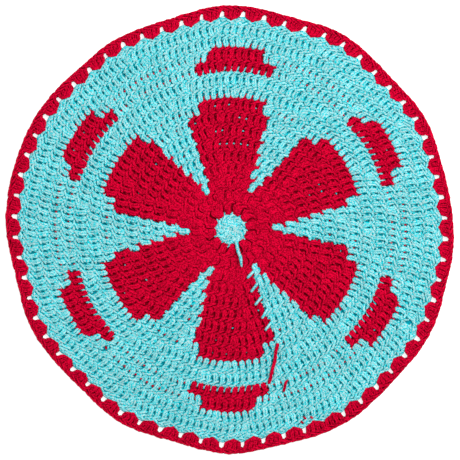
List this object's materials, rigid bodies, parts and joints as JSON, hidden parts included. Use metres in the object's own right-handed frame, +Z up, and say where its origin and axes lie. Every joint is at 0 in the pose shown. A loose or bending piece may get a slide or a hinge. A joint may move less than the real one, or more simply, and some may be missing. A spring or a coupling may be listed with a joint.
{
  "type": "crochet placemat",
  "caption": "Round flat crochet placemat in two colours of cotton yarn, with a petal motif and an openwork shell edging.",
  "frame": {"origin": "on the table under the middle of the mat's box, so the ring in which the rounds start is a few tenths of a millimetre off it", "axes": "+Z up out of the right side of the cloth, +Y towards the tip of one petal, +X to the right as seen from above"},
  "size_m": [0.3582, 0.3586, 0.0069],
  "materials": {
    "aqua_yarn": "matt twisted cotton yarn",
    "red_yarn": "matt twisted cotton yarn"
  },
  "bodies": {
    "root": {"mat": "aqua_yarn", "edging": "red_yarn", "ring_tail": "aqua_yarn", "float_strand": "red_yarn"}
  },
  "joints": []
}
